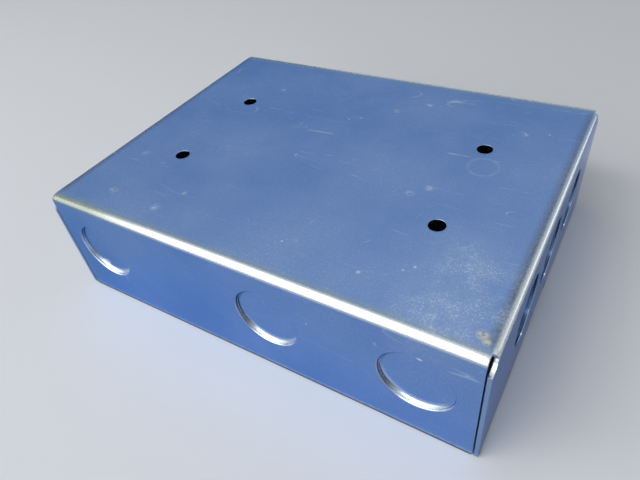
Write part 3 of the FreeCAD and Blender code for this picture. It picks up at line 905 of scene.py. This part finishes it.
def newZinc():
    material = bpy.data.materials.new("zincPlatedSteel")
    material.use_nodes = True
    tree = material.node_tree
    shader = tree.nodes["Principled BSDF"]
    at = Surface(tree)
    scuffs = wear(tree, at)
    bright, dull, fringe = bendBands(tree, at)
    rimHighlight, rimShade = rimBands(tree, at)
    highlighted, shaded, dark = cutMarks(tree, at)
    # Paler inner face: painted light for the shaded interior
    inside = calc(tree, "LESS_THAN", at.level, -0.5 * blank["knockoutPush"])
    # Scuffs, and the painted highlight line low on the walls
    pale = calc(tree, "MAXIMUM", scuffs, times(tree, rimHighlight, zinc["rimShare"]))
    stained = times(tree, spots(tree, at.place, zinc["stains"], 0.3), spread(tree, at.broken, 0.1, 0.6),
                    zinc["stainShare"])
    torn = times(tree, at.shear, spread(tree, at.streaks, 0.3, 0.7, 0.5, 1.0))
    # Painted shade on the back holes' cut faces, dimming their lit edge
    holeShade = times(tree, calc(tree, "LESS_THAN", at.pastU, 0.0), calc(tree, "LESS_THAN", at.pastV, 0.0),
                   spread(tree, at.shear, 0.0, 0.3, 0.0, 0.85))
    # The bends' painted highlight, dimmer to the left
    bendTone = blend(tree, spread(tree, at.u, *zinc["longFade"]), zinc["bendFarHighlightColour"], zinc["bendHighlightColour"])

    # Each layer covers those before it
    colour = blend(tree, at.clouds, zinc["colour"], zinc["paleCloud"])
    for cover, tone in ((inside, zinc["insideColour"]), (fringe, zinc["fringeColour"]), (bright, bendTone),
                        (dull, zinc["dullShadeColour"]), (pale, zinc["scuffAndHighlightColour"]),
                        (stained, zinc["stainColour"]), (torn, zinc["cutColour"]),
                        (dark, zinc["shadeColour"]), (holeShade, zinc["dullShadeColour"]),
                        (highlighted, zinc["paintedHighlightColour"]), (shaded, zinc["shadeColour"]),
                        (rimShade, zinc["dullShadeColour"])):
        colour = blend(tree, cover, colour, tone)
    tree.links.new(colour, shader.inputs["Base Color"])
    shader.inputs["Metallic"].default_value = 1.0
    shader.inputs["Specular Tint"].default_value = zinc["grazingTint"]

    less, more = zinc["cloudRoughness"]
    rough = spread(tree, at.clouds, 0.0, 1.0, zinc["roughness"] + less, zinc["roughness"] + more)
    for cover, added in ((scuffs, zinc["scuffRoughness"]), (bright, zinc["bendRoughness"]),
                         (dull, zinc["dullRoughness"]), (fringe, zinc["fringeRoughness"]),
                         (at.shear, zinc["cutRoughness"])):
        rough = calc(tree, "ADD", rough, times(tree, cover, added))
    tree.links.new(rough, shader.inputs["Roughness"])

    grain = noise(tree, at.place, zinc["grainScale"], 2.0, 0.6)
    rolling = noise(tree, stretched(tree, at.onBlank, zinc["rollingStretch"]), 1.0, 3.0, 0.6)
    relief = times(tree, grain, zinc["grainRelief"])
    for raised in (times(tree, rolling, zinc["rollingRelief"]),
                   times(tree, at.coarse, dull, zinc["coarseRelief"]),
                   times(tree, at.streaks, at.shear, zinc["tornRelief"])):
        relief = calc(tree, "ADD", relief, raised)
    bump = addNode(tree, "ShaderNodeBump", {
        "Height": relief, "Strength": zinc["reliefStrength"], "Distance": zinc["reliefDepth"] * mm})
    tree.links.new(bump.outputs[0], shader.inputs["Normal"])
    return material


zincMetal = newZinc()

box = bpy.data.objects.new("backBox", flatSheet)
scene.collection.objects.link(box)
fold = box.modifiers.new("Fold", "NODES")
fold.node_group = foldTree()
for item in fold.node_group.interface.items_tree:
    if item.in_out == "INPUT" and item.name == "Metal":
        fold[item.identifier] = zincMetal
folded = applied(box)
folded.shade_smooth()
folded.set_sharp_from_angle(angle=math.radians(blank["sharpAngle"]))
weighted = box.modifiers.new("Weighted normals", "WEIGHTED_NORMAL")
weighted.keep_sharp = True
weighted.weight = 50
applied(box)
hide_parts("back_box")
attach(box, "root")
print("Box folded:", len(box.data.polygons), "faces")


# Floor, light and camera
studio = {
    "floorColour": (0.66, 0.68, 0.71, 1.0),
    "floorRoughness": 0.7,
    "floorGloss": 0.2,
    "floorReach": 4.0,
    "floorFade": (0.6, 1.2),                   # from the box, into the horizon
    "horizon": (0.46, 0.48, 0.51, 1.0),
    "zenith": (0.84, 0.86, 0.88, 1.0),
    "climb": (0.1, 0.9),                       # from the horizon's grey to the zenith's
    "ambient": (0.16, 0.165, 0.17, 1.0),
    "underBoxGlow": (0.75, 0.76, 0.78, 1.0),       # glow of the floor under the open side, painted light seen only as the inside mirrors it
    "softboxes": {
        "front softbox": {"from": (-0.45, -1.05, 0.62), "size": (2.3, 1.3), "power": 13.5},
        "overhead softbox": {"from": (-0.40, -0.24, 1.13), "size": (1.2, 0.9), "power": 3.8},
        "strip light": {"from": (-0.10, -0.62, 0.92), "size": (1.4, 0.2), "power": 4.8},
        "right rear softbox": {"from": (0.98, 1.02, 0.16), "size": (0.7, 0.32), "power": 0.7},
    },
}
camera = {
    "place": (0.085582, -0.126718, 0.139709),
    "turn": (47.7698, 6.1970, 30.8509),
    "lens": 29.957,
    "sensor": 36.0,
    "nearest": 0.005,                          # nothing closer is drawn
}


def addFloor():
    mesh = bpy.data.meshes.new("floor")
    far = studio["floorReach"]
    mesh.from_pydata([(-far, -far, 0), (far, -far, 0), (far, far, 0), (-far, far, 0)], [], [(0, 1, 2, 3)])
    floor = bpy.data.objects.new("floor", mesh)
    scene.collection.objects.link(floor)
    material = bpy.data.materials.new("paleFloor")
    material.use_nodes = True
    tree = material.node_tree
    shader = tree.nodes["Principled BSDF"]
    shader.inputs["Base Color"].default_value = studio["floorColour"]
    shader.inputs["Roughness"].default_value = studio["floorRoughness"]
    shader.inputs["Specular IOR Level"].default_value = studio["floorGloss"]
    place = addNode(tree, "ShaderNodeTexCoord").outputs["Object"]
    rays = addNode(tree, "ShaderNodeLightPath").outputs

    # A glow under the open side: painted light standing in for light coming into the box, seen only as the
    # inside mirrors it through the clear floor
    shown = calc(tree, "SUBTRACT", rays["Is Glossy Ray"], rays["Diffuse Depth"], clamp=True)
    shown = calc(tree, "MULTIPLY", shown, rays["Transparent Depth"], clamp=True)
    x, y = split(tree, place)[:2]
    for side, half in ((x, blank["longWallEnd"]), (y, blank["halfWidth"] - blank["sheet"])):
        shown = times(tree, shown, calc(tree, "LESS_THAN", calc(tree, "ABSOLUTE", side), half * mm))
    glowPatch = blend(tree, shown, (0.0, 0.0, 0.0, 1.0), studio["underBoxGlow"])
    tree.links.new(glowPatch, shader.inputs["Emission Color"])
    shader.inputs["Emission Strength"].default_value = 1.0

    # Far off it fades into the horizon
    away = vector(tree, "LENGTH", place, output="Value")
    seen = calc(tree, "MAXIMUM", rays["Is Camera Ray"], rays["Is Glossy Ray"])
    seen = times(tree, seen, spread(tree, away, *studio["floorFade"]))
    fade = addNode(tree, "ShaderNodeMixShader", {0: seen})
    horizon = addNode(tree, "ShaderNodeEmission", {"Color": studio["horizon"]})
    tree.links.new(shader.outputs[0], fade.inputs[1])
    tree.links.new(horizon.outputs[0], fade.inputs[2])

    # From below it is clear, so the open side of the box shows
    below = addNode(tree, "ShaderNodeNewGeometry").outputs["Backfacing"]
    clear = addNode(tree, "ShaderNodeBsdfTransparent")
    mix = addNode(tree, "ShaderNodeMixShader", {0: below})
    tree.links.new(fade.outputs[0], mix.inputs[1])
    tree.links.new(clear.outputs[0], mix.inputs[2])
    tree.links.new(mix.outputs[0], tree.nodes["Material Output"].inputs["Surface"])
    mesh.materials.append(material)


def addWorld():
    world = bpy.data.worlds.new("paleStudio")
    scene.world = world
    world.use_nodes = True
    tree = world.node_tree
    shader = tree.nodes["Background"]
    rays = addNode(tree, "ShaderNodeLightPath").outputs
    seen = calc(tree, "ADD", rays["Is Camera Ray"], rays["Is Glossy Ray"])
    seen = calc(tree, "ADD", seen, rays["Is Transmission Ray"], clamp=True)
    climb = split(tree, addNode(tree, "ShaderNodeTexCoord").outputs["Generated"])[2]
    backdrop = blend(tree, spread(tree, climb, *studio["climb"]), studio["horizon"], studio["zenith"])
    tree.links.new(blend(tree, seen, studio["ambient"], backdrop), shader.inputs["Color"])
    shader.inputs["Strength"].default_value = 1.0


def addSoftbox(name, panel):
    lamp = bpy.data.lights.new(name, "AREA")
    lamp.shape = "RECTANGLE"
    lamp.size, lamp.size_y = panel["size"]
    lamp.energy = panel["power"]
    light = bpy.data.objects.new(name, lamp)
    light.location = panel["from"]
    light.rotation_euler = Vector(panel["from"]).to_track_quat("Z", "Y").to_euler()
    light.visible_camera = False
    scene.collection.objects.link(light)


def addCamera():
    lens = bpy.data.cameras.new("camera")
    lens.sensor_width = camera["sensor"]
    lens.lens = camera["lens"]
    lens.clip_start = camera["nearest"]
    view = bpy.data.objects.new("camera", lens)
    view.location = camera["place"]
    view.rotation_euler = [math.radians(a) for a in camera["turn"]]
    scene.collection.objects.link(view)
    scene.camera = view


addFloor()
addWorld()
for name, panel in studio["softboxes"].items():
    addSoftbox(name, panel)
addCamera()
scene.view_settings.view_transform = "Standard"
print("Studio lit")
